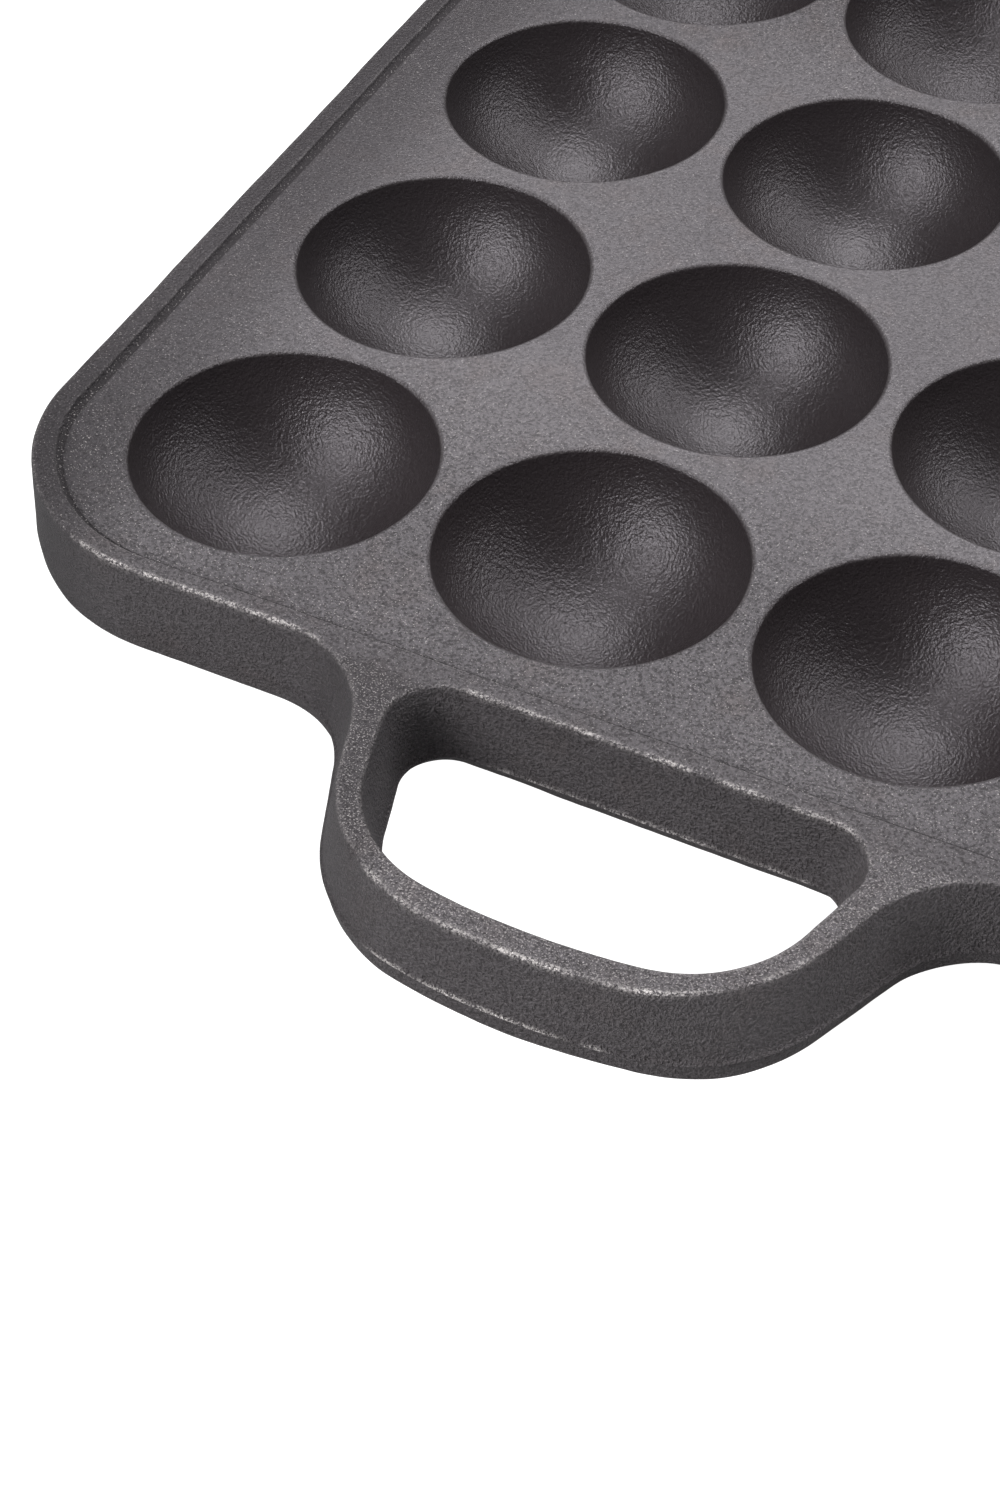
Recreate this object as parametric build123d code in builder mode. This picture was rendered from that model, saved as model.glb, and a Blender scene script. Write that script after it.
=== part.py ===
from build123d import *
import os
from math import cos, radians, sqrt, tan

# Cast-iron takoyaki pan: a deck of hemispherical wells inside a raised rim and a skirt, with a loop handle
# on each end, all poured in one piece. Millimetres, +Z up. The flats under the wells stand on z = 0, and the
# origin is below the middle of the deck. Rows run from the front handle (-Y) to the rear one, and columns
# from -X to +X.

# Wells
columns = 4
rows = 4
well_pitch = 46.0
well_radius = 21.0          # where the sphere would cut the deck
well_depth = 20.0
lip_radius = 0.6            # rounding between a well and the deck
cup_wall = 4.2              # iron round a well
cup_fillet = 3.5            # between the outside of a cup and the deck's underside
foot_radius = 4.5           # flat under each well

# Deck, rim and skirt
half_width = 101.8
half_length = 99.8
corner_radius = 28.0
deck_thickness = 4.5
rim_height = 1.2            # above the deck
rim_width = 2.9
rim_inner_fillet = 0.8
skirt_height = 13.5         # from the rim's top to the skirt's bottom edge
parting_drop = 10.8         # from the rim's top down to the mould's parting line
skirt_thickness = 5.0
skirt_fillet = 2.0          # between the skirt's inside and the deck's underside
top_rounding = 0.5
bottom_rounding = 1.1

# The front loop in plan. The walls lean, so each size has two values: at the rim's top and at the parting
# line.
bar_reach = (136.4, 138.4)          # the bar's outer edge, from the pan's centre
bar_bow = (102.5, 89.8)             # radius of that edge
arm_spread = (38.6, 42.5)           # where an arm's outer edge would meet the plate's edge
arm_angle = (17.5, 21.5)            # of that edge, from the Y axis
bar_corner_radius = (25.7, 23.5)
root_radius = (16.7, 15.8)
opening_start = (100.0, 100.7)      # the finger opening's straight edge
opening_reach = (132.4, 130.6)
opening_bow = (91.2, 89.4)
opening_spread = (34.0, 32.6)
opening_angle = (14.2, 17.1)
opening_near_radius = (7.0, 7.0)
opening_far_radius = (18.7, 17.2)
loop_shift = -0.5                   # the loops sit a little to the left of the wells' middle line

# How far the walls stand out from their line at the rim's top, and how far they draw back again below the
# parting line
plate_flare = 0.9                   # at the parting line
plate_set_back = 0.4                # at the skirt's bottom
loop_set_back = 0.8
edge_set_back = 0.25                # of the finger opening's straight wall

# Heights above the surface that the pan stands on
sphere_radius = (well_radius**2 + well_depth**2) / (2 * well_depth)
sphere_rise = sphere_radius - well_depth        # of the spheres' centre above the deck
cup_radius = sphere_radius + cup_wall
deck_top = sqrt(cup_radius**2 - foot_radius**2) - sphere_rise
deck_underside = deck_top - deck_thickness
sphere_centre = deck_top + sphere_rise
rim_top = deck_top + rim_height
parting = rim_top - parting_drop
skirt_bottom = rim_top - skirt_height

# Where the casting is divided
loop_seam = half_length + 2.4                   # just outside the flared wall
rim_straight = half_width - corner_radius       # half the straight length of the front rim
opening_line = 100.0                            # where the opening's spread is measured
spare = 5.0                                     # how far cutting shapes run past what they cut
beyond = 400.0                                  # larger than the pan


def lobe(start, near, reach, bow, spread, angle):
    """A loop beyond near: two straight sides that close in on a bowed bar. They are spread apart at start."""
    far = reach + spare
    lean = tan(radians(angle))
    near_spread, far_spread = (spread - (y - start) * lean for y in (near, far))
    with BuildSketch() as shape:
        corners = (-near_spread, -near), (-far_spread, -far), (far_spread, -far), (near_spread, -near)
        Polygon(*corners, align=None)
        with Locations((0, bow - reach)):
            Circle(bow, mode=Mode.INTERSECT)
    return shape.sketch.moved(Location((loop_shift, 0, 0)))


def plate(grow, mode=Mode.ADD):
    """The deck's rounded rectangle, moved outwards by grow."""
    RectangleRounded(2 * (half_width + grow), 2 * (half_length + grow), corner_radius + grow, mode=mode)


def outline(level, set_back, plate_grow):
    """The whole pan in plan, without its finger openings. Its loops are drawn back from their line at this
    level."""
    spread = arm_spread[level] - set_back / cos(radians(arm_angle[level]))
    with BuildSketch() as shape:
        near = half_length - corner_radius
        add(lobe(half_length, near, bar_reach[level] - set_back, bar_bow[level] - set_back, spread,
                 arm_angle[level]))
        fillet(shape.vertices().group_by(Axis.Y)[0], bar_corner_radius[level] - set_back)
        mirror(about=Plane.XZ)
        plate(plate_grow)
        roots = shape.vertices().filter_by(
            lambda v: abs(abs(v.Y) - half_length - plate_grow) < 0.01 and abs(v.X) < rim_straight - spare)
        fillet(roots, root_radius[level] - set_back)
    return shape.sketch


def finger_opening(level, set_back, edge_back):
    """The hole through the front loop. Its walls are drawn back from their line at this level."""
    spread = opening_spread[level] + set_back / cos(radians(opening_angle[level]))
    with BuildSketch() as shape:
        add(lobe(opening_line, opening_start[level] - edge_back, opening_reach[level] + set_back,
                 opening_bow[level] + set_back, spread, opening_angle[level]))
        fillet(shape.vertices().group_by(Axis.Y)[0], opening_far_radius[level] + set_back)
        fillet(shape.vertices().group_by(Axis.Y)[-1], opening_near_radius[level] - set_back)
    return shape.sketch


def faces_at(part, height):
    """The level faces of a part at one height."""
    return part.faces().filter_by(Axis.Z).filter_by_position(Axis.Z, height - 0.1, height + 0.1)


# The walls lean out down to the parting line, and in again below it.
at_top, at_parting = 0, 1
levels = [(rim_top, at_top, 0, 0, 0), (parting, at_parting, 0, 0, plate_flare),
          (skirt_bottom, at_parting, loop_set_back, edge_set_back, plate_flare - plate_set_back)]

with BuildPart() as finger_hole:
    for height, level, set_back, edge_back, _ in levels:
        with BuildSketch(Plane.XY.offset(height)):
            add(finger_opening(level, set_back, edge_back))
    loft(ruled=True)

# The outside of a well: a flat foot, the sphere, and a fillet up to the deck's underside.
fillet_height = deck_underside - cup_fillet
fillet_reach = sqrt((cup_radius + cup_fillet)**2 - (sphere_centre - fillet_height)**2)
cup_share = cup_radius / (cup_radius + cup_fillet)
cup_tangent = (fillet_reach * cup_share, sphere_centre - (sphere_centre - fillet_height) * cup_share)
cup_top = deck_underside + deck_thickness / 2
with BuildPart() as cup:
    with BuildSketch(Plane.XZ):
        with BuildLine():
            RadiusArc((foot_radius, 0), cup_tangent, -cup_radius)
            RadiusArc(cup_tangent, (fillet_reach, deck_underside), cup_fillet)
            Polyline((fillet_reach, deck_underside), (fillet_reach, cup_top), (0, cup_top), (0, 0),
                     (foot_radius, 0))
        make_face()
    revolve(axis=Axis.Z)

# The space inside a well, with the rounding of its lip.
lip_reach = sqrt((sphere_radius + lip_radius)**2 - (sphere_rise + lip_radius)**2)
lip_share = sphere_radius / (sphere_radius + lip_radius)
lip_tangent = (lip_reach * lip_share, sphere_centre - (sphere_rise + lip_radius) * lip_share)
well_bottom = (0, deck_top - well_depth)
with BuildPart() as well_space:
    with BuildSketch(Plane.XZ):
        with BuildLine():
            RadiusArc(well_bottom, lip_tangent, -sphere_radius)
            RadiusArc(lip_tangent, (lip_reach, deck_top), lip_radius)
            Polyline((lip_reach, deck_top), (lip_reach, rim_top + spare), (0, rim_top + spare), well_bottom)
        make_face()
    revolve(axis=Axis.Z)

with BuildPart() as casting:
    for height, level, set_back, _, plate_grow in levels:
        with BuildSketch(Plane.XY.offset(height)):
            add(outline(level, set_back, plate_grow))
    loft(ruled=True)
    add(finger_hole.part, mode=Mode.SUBTRACT)
    mirror(finger_hole.part, about=Plane.XZ, mode=Mode.SUBTRACT)
    fillet(casting.faces().sort_by(Axis.Z)[-1].edges(), top_rounding)
    fillet(casting.faces().sort_by(Axis.Z)[0].edges(), bottom_rounding)
    # the hollow underside, inside the skirt
    with BuildSketch(Plane.XY.offset(skirt_bottom)):
        plate(-skirt_thickness)
    extrude(amount=deck_underside - skirt_bottom, mode=Mode.SUBTRACT)
    fillet(faces_at(casting, deck_underside).edges(), skirt_fillet)
    # the deck, sunk below the rim
    with BuildSketch(Plane.XY.offset(deck_top)):
        plate(-rim_width)
    extrude(amount=rim_height + spare, mode=Mode.SUBTRACT)
    fillet(faces_at(casting, deck_top).edges(), rim_inner_fillet)
    with GridLocations(well_pitch, well_pitch, columns, rows):
        add(cup.part)
    with GridLocations(well_pitch, well_pitch, columns, rows):
        add(well_space.part, mode=Mode.SUBTRACT)


def share_of_deck(index, count):
    """Middle and width of a row's or column's share of the deck; the outermost run past its edge."""
    low = (index - count / 2) * well_pitch if index > 0 else -beyond / 2
    high = (index + 1 - count / 2) * well_pitch if index < count - 1 else beyond / 2
    return (low + high) / 2, high - low


def save(part, name):
    """Label one region of the casting and write it."""
    part.label = name
    export_step(part, f"parts/{name}.step")


os.makedirs("parts", exist_ok=True)
cut_height = rim_top + 2 * spare

# The wells, each with its share of the deck inside the skirt
for row in range(rows):
    for column in range(columns):
        middle_x, width = share_of_deck(column, columns)
        middle_y, length = share_of_deck(row, rows)
        with BuildPart() as well:
            add(casting.part)
            with BuildSketch(Plane.XY.offset(-spare)):
                plate(-skirt_thickness)
                with Locations((middle_x, middle_y)):
                    Rectangle(width, length, mode=Mode.INTERSECT)
            extrude(amount=cut_height, mode=Mode.INTERSECT)
        save(well.part, f"well_r{row + 1}_c{column + 1}")

# The rim with its skirt, in four lengths: the side lengths hold the corners
rim_lengths = {
    "rim_front": (0, -beyond / 2, 2 * rim_straight, beyond),
    "rim_rear": (0, beyond / 2, 2 * rim_straight, beyond),
    "rim_left": (-rim_straight - beyond / 2, 0, beyond, 2 * beyond),
    "rim_right": (rim_straight + beyond / 2, 0, beyond, 2 * beyond),
}
for name, (middle_x, middle_y, width, length) in rim_lengths.items():
    with BuildPart() as rim:
        add(casting.part)
        with BuildSketch(Plane.XY.offset(-spare)):
            Rectangle(beyond, 2 * loop_seam)
            with Locations((middle_x, middle_y)):
                Rectangle(width, length, mode=Mode.INTERSECT)
            plate(-skirt_thickness, mode=Mode.SUBTRACT)
        extrude(amount=cut_height, mode=Mode.INTERSECT)
    save(rim.part, name)

# The loops
for name, end in (("front_handle", -1), ("rear_handle", 1)):
    with BuildPart() as handle:
        add(casting.part)
        with BuildSketch(Plane.XY.offset(-spare)):
            with Locations((0, end * (loop_seam + beyond / 2))):
                Rectangle(beyond, beyond)
        extrude(amount=cut_height, mode=Mode.INTERSECT)
    save(handle.part, name)
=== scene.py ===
# %% [markdown]
# # A cast-iron takoyaki pan
#
# The whole pan is one casting: a deck of round wells inside a raised rim, a skirt round it, and a loop
# handle on each end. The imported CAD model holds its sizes, so it is loaded first and never changed. Each
# region then gets a smooth surface worked out with numpy, and a sand-cast iron finish. Lengths are
# metres, +Z is up, and the front handle lies towards -Y, as in the CAD model.

# %% Load the frame
import bmesh
import bpy
import numpy as np
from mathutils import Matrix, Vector


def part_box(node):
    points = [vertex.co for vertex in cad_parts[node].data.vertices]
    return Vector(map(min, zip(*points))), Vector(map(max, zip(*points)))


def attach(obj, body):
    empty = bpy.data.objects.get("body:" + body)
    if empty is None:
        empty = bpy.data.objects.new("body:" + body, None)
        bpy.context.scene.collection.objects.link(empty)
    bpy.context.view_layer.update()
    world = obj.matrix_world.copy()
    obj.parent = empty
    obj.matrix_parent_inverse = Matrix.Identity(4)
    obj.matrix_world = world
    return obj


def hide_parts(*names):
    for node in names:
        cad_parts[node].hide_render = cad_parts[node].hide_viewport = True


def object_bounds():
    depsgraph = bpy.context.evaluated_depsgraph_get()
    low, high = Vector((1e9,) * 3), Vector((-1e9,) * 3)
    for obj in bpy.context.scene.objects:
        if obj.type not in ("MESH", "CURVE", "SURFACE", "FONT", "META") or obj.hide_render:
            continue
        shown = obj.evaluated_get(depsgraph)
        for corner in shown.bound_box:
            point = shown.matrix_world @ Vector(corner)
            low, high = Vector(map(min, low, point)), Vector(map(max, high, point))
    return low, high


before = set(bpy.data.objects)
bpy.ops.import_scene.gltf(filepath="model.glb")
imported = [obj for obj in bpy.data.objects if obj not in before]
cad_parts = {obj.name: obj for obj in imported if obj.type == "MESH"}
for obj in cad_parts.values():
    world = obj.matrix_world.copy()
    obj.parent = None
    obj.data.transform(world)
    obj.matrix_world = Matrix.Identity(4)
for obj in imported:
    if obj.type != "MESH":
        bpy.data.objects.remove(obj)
cad_low, cad_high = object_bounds()
print("CAD nodes:", len(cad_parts), "box:", [round(x, 4) for x in (*cad_low, *cad_high)])

# %% [markdown]
# ## The camera
#
# A camera is easiest to place from where it looks. Here it stands to the front and right of the pan and
# looks down at half a right angle, so `back`, the direction from the pan to the camera, follows from two
# angles. A long lens keeps the wells' ellipses even, and the front handle and the wells nearest to it
# fill the frame. The camera comes first, because everything else is judged through it.

# %% The camera
azimuth, elevation = np.radians(27.098), np.radians(45.290)
standpoint, focal_length, nearest_seen = (0.12017, -0.37496, 0.32854), 83.51, 0.01
level_part = np.cos(elevation)
back = Vector((np.sin(azimuth) * level_part, -np.cos(azimuth) * level_part, np.sin(elevation)))
camera = bpy.data.objects.new("camera", bpy.data.cameras.new("camera"))
camera.data.lens = focal_length
camera.data.clip_start = nearest_seen
camera.location = standpoint
camera.rotation_euler = back.to_track_quat("Z", "Y").to_euler()
bpy.context.scene.collection.objects.link(camera)
bpy.context.scene.camera = camera
bpy.context.scene.view_settings.view_transform = "Standard"
print("camera", tuple(round(x, 3) for x in camera.location), "lens", camera.data.lens)

# %% [markdown]
# ## Sizes
#
# What the CAD model can tell is read from its nodes' boxes: a well in the middle of the deck is one pitch
# wide and ends at the deck, and the rim runs from the skirt's bottom edge to its own top. The rest are
# the casting's own radii and widths, in millimetres times `mm`.

# %% Sizes
mm = 0.001
well_low, well_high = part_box("well_r2_c2")
rim_low, rim_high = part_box("rim_left")
pitch = well_high.x - well_low.x
deck_top = well_high.z
skirt_drop = 0.3 * mm               # how far the skirt ends below the CAD model's
skirt_bottom = rim_low.z - skirt_drop
uneven_room = 0.05 * mm             # kept free inside the CAD box for the casting's unevenness
rim_top = rim_high.z - uneven_room
count = 4                           # wells each way

well_radius, well_depth, lip_radius = 21.0 * mm, 20.0 * mm, 0.6 * mm
cup_wall, cup_fillet, foot_radius = 4.2 * mm, 3.5 * mm, 4.5 * mm
half_width, half_length, corner_radius = 101.8 * mm, 99.8 * mm, 28.0 * mm
deck_thickness, rim_width = 4.5 * mm, 2.9 * mm
skirt_thickness, skirt_fillet = 5.0 * mm, 2.0 * mm
plate = np.array([half_width, half_length])
corner_middle = plate - corner_radius           # where the plate's round corner has its centre
parting_drop = 10.8 * mm            # from the rim down to the line where the two halves of the mould met
parting = rim_high.z - parting_drop
print("pitch", round(pitch, 5), "deck", round(deck_top, 5), "rim", round(rim_top, 5))

# %% [markdown]
# ## Outlines from lines and arcs
#
# Seen from above the pan is made of straight runs and round corners. A path is kept as a short table with
# one row for each line or arc, so that a point anywhere on it, or thousands at once, comes from one
# formula. The number before the point says which piece, and the number after it how far along: 2.25 is a
# quarter of the way along piece 2.

# %% Paths of lines and arcs
def line(start, end):
    """A straight piece of a path."""
    return [start[0], start[1], 0, 0, 0, end[0] - start[0], end[1] - start[1]]


def arc(centre, radius, first, last):
    """A round piece of a path, from the first angle to the last."""
    return [centre[0], centre[1], radius, first, last, 0, 0]


def along(pieces, places):
    """Points on a path: centre + radius * (cos, sin) of an evenly turning angle, plus a share of a line."""
    table = np.array(pieces)
    piece = np.clip(places.astype(int), 0, len(table) - 1)
    share = places - piece
    x, y, radius, first, last, dx, dy = table[piece].T
    angle = first + (last - first) * share
    x, y = x + radius * np.cos(angle) + dx * share, y + radius * np.sin(angle) + dy * share
    return np.stack([x, y], axis=-1)


def evenly(pieces, first, last, fractions):
    """The places that divide the path from place first to place last in these fractions of its length."""
    table = np.array(pieces)
    lengths = np.abs(table[:, 2] * (table[:, 4] - table[:, 3])) + np.hypot(table[:, 5], table[:, 6])
    knots = np.arange(len(table) + 1)
    run = np.concatenate([[0], np.cumsum(lengths)])
    ends = np.interp([first, last], knots, run)
    return np.interp(ends[0] + (ends[1] - ends[0]) * fractions, run, knots)


quarter_circle = [arc((0, 0), 1, 0, np.pi / 2)]
print("halfway round a quarter circle:", along(quarter_circle, np.array([0.5])).round(3))


# %% [markdown]
# ## The pan's edge
#
# One quarter is enough, because the pan is the same on both sides of its middle planes. The quarter runs
# from the middle of a handle's bar, round the bar's corner, down the arm, through the hollow root and
# along the plate to the middle of its side. Where two runs meet in an arc, the arc's centre is as far
# from both as its radius, and that gives its place. The walls lean, so that the casting comes out of the
# mould: each size has three values, in millimetres or degrees, for the skirt's bottom, the parting line
# and the rim's top, and every height between them gets its own outline. `inset` then moves the whole line
# square to itself, for the rounded edges.

# %% The pan's edge
heights = [skirt_bottom, parting, rim_top]
side_out, end_out = [0.35, 0.65, 0.45], [0.35, 0.6, 0.0]       # the plate's walls, beyond its half sizes
bar_reach, bar_bow, bar_corner = [137.4, 137.35, 136.4], [89.3, 89.6, 102.5], [22.9, 23.3, 25.7]
arm_spread, arm_angle, root_radius = [41.8, 42.2, 38.6], [21.5, 21.5, 17.5], [15.4, 15.6, 16.7]
opening_start, opening_reach, opening_bow = [99.6, 101.0, 100.0], [131.4, 130.8, 132.4], [90.2, 89.6, 91.2]
opening_spread, opening_angle = [33.4, 32.8, 34.0], [17.1, 17.1, 14.2]
opening_near, opening_far = [6.2, 6.8, 7.0], [18.0, 17.4, 18.7]
opening_line = 100.0 * mm           # where the opening's spread is measured


def at(height, sizes):
    """A size at this height, in metres, evenly between its three values in millimetres."""
    return np.interp(height, heights, sizes) * mm


def loop_corner(reach, bow, corner, spread, start, degrees, grow):
    """Where a loop's bowed bar turns into its side: the bow's centre, the turn's start, the corner's
    centre, the direction square to the side, the side's distance and its angle. The two centres lie
    bow - corner apart."""
    angle = np.radians(degrees)
    bow_centre = np.array([0, reach - bow])
    across = np.array([np.cos(angle), np.sin(angle)])
    side = across @ [spread, start] + grow
    turn = angle + np.arccos((side - corner - across @ bow_centre) / (bow - corner))
    corner_centre = bow_centre + (bow - corner) * np.array([np.cos(turn), np.sin(turn)])
    return bow_centre, turn, corner_centre, across, side, angle


def pan_edge(height, inset=0.0):
    """A quarter of the pan's outline, as seven pieces."""
    bow, corner = at(height, bar_bow) - inset, at(height, bar_corner) - inset
    bow_centre, turn, corner_centre, across, side, angle = loop_corner(
        at(height, bar_reach) - inset, bow, corner, at(height, arm_spread), half_length,
        np.interp(height, heights, arm_angle), -inset)
    plate_side = half_width + at(height, side_out) - inset
    plate_end = half_length + at(height, end_out) - inset
    plate_corner = corner_radius + at(height, end_out) - inset
    plate_centre = np.array([plate_side, plate_end]) - plate_corner
    root = at(height, root_radius) + inset
    root_y = plate_end + root
    root_centre = np.array([(side + root - across[1] * root_y) / across[0], root_y])
    return [
        arc(bow_centre, bow, np.pi / 2, turn),
        arc(corner_centre, corner, turn, angle),
        line(corner_centre + corner * across, root_centre - root * across),
        arc(root_centre, root, np.pi + angle, 1.5 * np.pi),
        line(root_centre - [0, root], plate_centre + [0, plate_corner]),
        arc(plate_centre, plate_corner, np.pi / 2, 0),
        line(plate_centre + [plate_corner, 0], [plate_side, 0]),
    ]


def opening_edge(height, inset=0.0):
    """Half of a finger opening's outline, as five pieces, from the bar's middle to the plate's side."""
    bow, far, near = [at(height, sizes) + inset for sizes in (opening_bow, opening_far, opening_near)]
    bow_centre, turn, corner_centre, across, side, angle = loop_corner(
        at(height, opening_reach) + inset, bow, far, at(height, opening_spread), opening_line,
        np.interp(height, heights, opening_angle), inset)
    near_y = at(height, opening_start) - inset
    near_centre = np.array([(side - near - across[1] * (near_y + near)) / across[0], near_y + near])
    return [
        arc(bow_centre, bow, np.pi / 2, turn),
        arc(corner_centre, far, turn, angle),
        line(corner_centre + far * across, near_centre + near * across),
        arc(near_centre, near, angle, -np.pi / 2),
        line(near_centre - [0, near], [0, near_y]),
    ]


def deck_edge(inset):
    """A quarter of the line this far inside the plate's edge, in four pieces, the first behind a loop."""
    radius = corner_radius - inset
    return [
        line([0, half_length - inset], [root_x, half_length - inset]),
        line([root_x, half_length - inset], corner_middle + [0, radius]),
        arc(corner_middle, radius, np.pi / 2, 0),
        line(corner_middle + [radius, 0], [half_width - inset, 0]),
    ]


print("over the loops", round(2 * max(bar_reach), 1), "mm, over the sides",
      round(2 * (half_width / mm + max(side_out)), 1), "mm")


# %% [markdown]
# ## Stations
#
# Three walls meet on the pan's top: the outside, the finger opening's and the step down to the deck.
# Their surfaces are joined along a middle line between them, which forks beside each loop's root. So the
# stations along all three are shared: one set round the loop, one in front of it and one round the plate.

# %% Stations
loop_step, plate_step = 0.6 * mm, 1.0 * mm
loop_length, near_length, plate_length = 60 * mm, 32 * mm, 148 * mm
root_split = 3.5                    # halfway round the root of an arm, and round the opening's near corner
plate_turn, deck_turn = 5, 2        # where the corner begins on the pan's edge, and on the deck's
outside, inside = pan_edge(rim_top), opening_edge(rim_top)


def station_fractions(length, step):
    """Even fractions from 0 to 1, about step apart on this length."""
    return np.linspace(0, 1, int(round(length / step)) + 1)


loop_fractions = station_fractions(loop_length, loop_step)
near_fractions = station_fractions(near_length, loop_step)
plate_fractions = station_fractions(plate_length, plate_step)
outer_loop = evenly(outside, 0, root_split, loop_fractions)
outer_plate = evenly(outside, root_split, len(outside), plate_fractions)
inner_loop = evenly(inside, 0, root_split, loop_fractions)
inner_near = evenly(inside, root_split, len(inside), near_fractions)
fork_outer = along(outside, np.array([root_split]))[0]
fork_inner = along(inside, np.array([root_split]))[0]
root_x = (fork_outer[0] + fork_inner[0]) / 2
before_turn = outer_plate <= plate_turn
deck_near = 1 - near_fractions
deck_plate = np.where(before_turn, 1 + plate_fractions / plate_fractions[before_turn][-1],
                      outer_plate - (plate_turn - deck_turn))
print("stations: loop", len(outer_loop), "near", len(inner_near), "plate", len(outer_plate))

# %% [markdown]
# The middle line is halfway between its two walls. Near the fork it bends over to the point where all
# three branches meet, by a share that rises smoothly from 0 to 1.

# %% The middle line
fork_blend = 9 * mm                 # over this length the branches bend to the fork
step_line = deck_edge(rim_width)
fork_deck = along(step_line, np.array([1.0]))[0]
fork = (fork_outer + fork_inner + fork_deck) / 3


def smooth(t):
    """0 up to 0, 1 from 1, and 3t^2 - 2t^3 between."""
    t = np.clip(t, 0, 1)
    return 3 * t**2 - 2 * t**3


def branch(a, b, toward_fork):
    """Halfway between two walls, plus a smooth share of the way to the fork that grows near it."""
    middle = (a + b) / 2
    end = middle[-1] if toward_fork else middle[0]
    distance = np.linalg.norm(np.diff(middle, axis=0), axis=1)
    run = np.concatenate([[0], np.cumsum(distance)])
    left = run[-1] - run if toward_fork else run
    return middle + smooth(1 - left / fork_blend)[:, None] * (fork - end)


loop_middle = branch(along(outside, outer_loop), along(inside, inner_loop), True)
near_middle = branch(along(inside, inner_near), along(step_line, deck_near), False)
plate_middle = branch(along(outside, outer_plate), along(step_line, deck_plate), False)
print("fork at", fork.round(4))

# %% [markdown]
# ## Sand-cast unevenness
#
# A sand mould is never quite true, so the real surface swells and dips by a few hundredths of a
# millimetre, and its edges waver. That is a push in all three directions, the sum of sine waves with
# random headings. It depends only on where a point is, so regions that share an edge are pushed alike and
# stay joined. Three sets of waves do it, long and deep to short and shallow. The two loops also sit half
# a millimetre to the left, and the same push carries them there.

# %% Unevenness
swells = [(38 * mm, 0.05 * mm), (12 * mm, 0.02 * mm), (4 * mm, 0.01 * mm)]     # wavelengths and depths
wave_count, wave_spread = 14, (0.7, 1.5)
loop_shift = -0.5 * mm
shift_start, shift_rise = 95 * mm, 5 * mm       # how far out the shift begins, and how soon it is full
shift_end, shift_fade = 65 * mm, 15 * mm        # how far to the side it ends, and how wide its fade is


def waver(points, wavelength, depth, seed):
    """Sum of depth * direction * sin(2 pi * heading . point / wavelength + phase) over random headings and
    directions. Each wave's length is near the one given."""
    draw = np.random.default_rng(seed)
    headings = draw.normal(size=(wave_count, 3))
    turns = 2 * np.pi / wavelength * draw.uniform(*wave_spread, wave_count)
    headings *= (turns / np.linalg.norm(headings, axis=1))[:, None]
    phases = draw.uniform(0, 2 * np.pi, wave_count)
    directions = draw.normal(size=(wave_count, 3)) / np.sqrt(wave_count)
    return depth * np.sin(points @ headings.T + phases) @ directions


def cast(points):
    """The casting's swells and its loops' shift, kept inside the CAD box."""
    x, y, _ = np.moveaxis(np.abs(points), -1, 0)
    loops = smooth((y - shift_start) / shift_rise) * smooth((shift_end - x) / shift_fade)
    pushed = points.copy()
    for seed, (wavelength, depth) in enumerate(swells, start=1):
        pushed += waver(points, wavelength, depth, seed)
    pushed[..., 0] += loop_shift * loops
    return np.clip(pushed, cad_low, cad_high)


# %% [markdown]
# Below the parting line the sand crumbled a little more, and one edge of the front loop was knocked when
# the gate was broken off. Both are small pushes on the walls only.

# %% Ragged edge and nick
crumble_length, crumble_depth, crumble_seed = 8 * mm, 0.09 * mm, 4
nick, nick_width, nick_depth = np.array([-24.6, -130.7, 25.0]) * mm, 1.0 * mm, 0.9 * mm
nick_push = np.array([0.45, 0.75, -0.5])


def ragged(points):
    """A stronger waver that grows from the parting line down, and a dent of exp(-(distance / width)^2)."""
    low = smooth((parting - points[..., 2]) / (parting - skirt_bottom))
    dent = np.exp(-(np.linalg.norm(points - nick, axis=-1) / nick_width)**2)
    waves = waver(points, crumble_length, crumble_depth, crumble_seed)
    return points + low[..., None] * waves + nick_depth * dent[..., None] * nick_push
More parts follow.
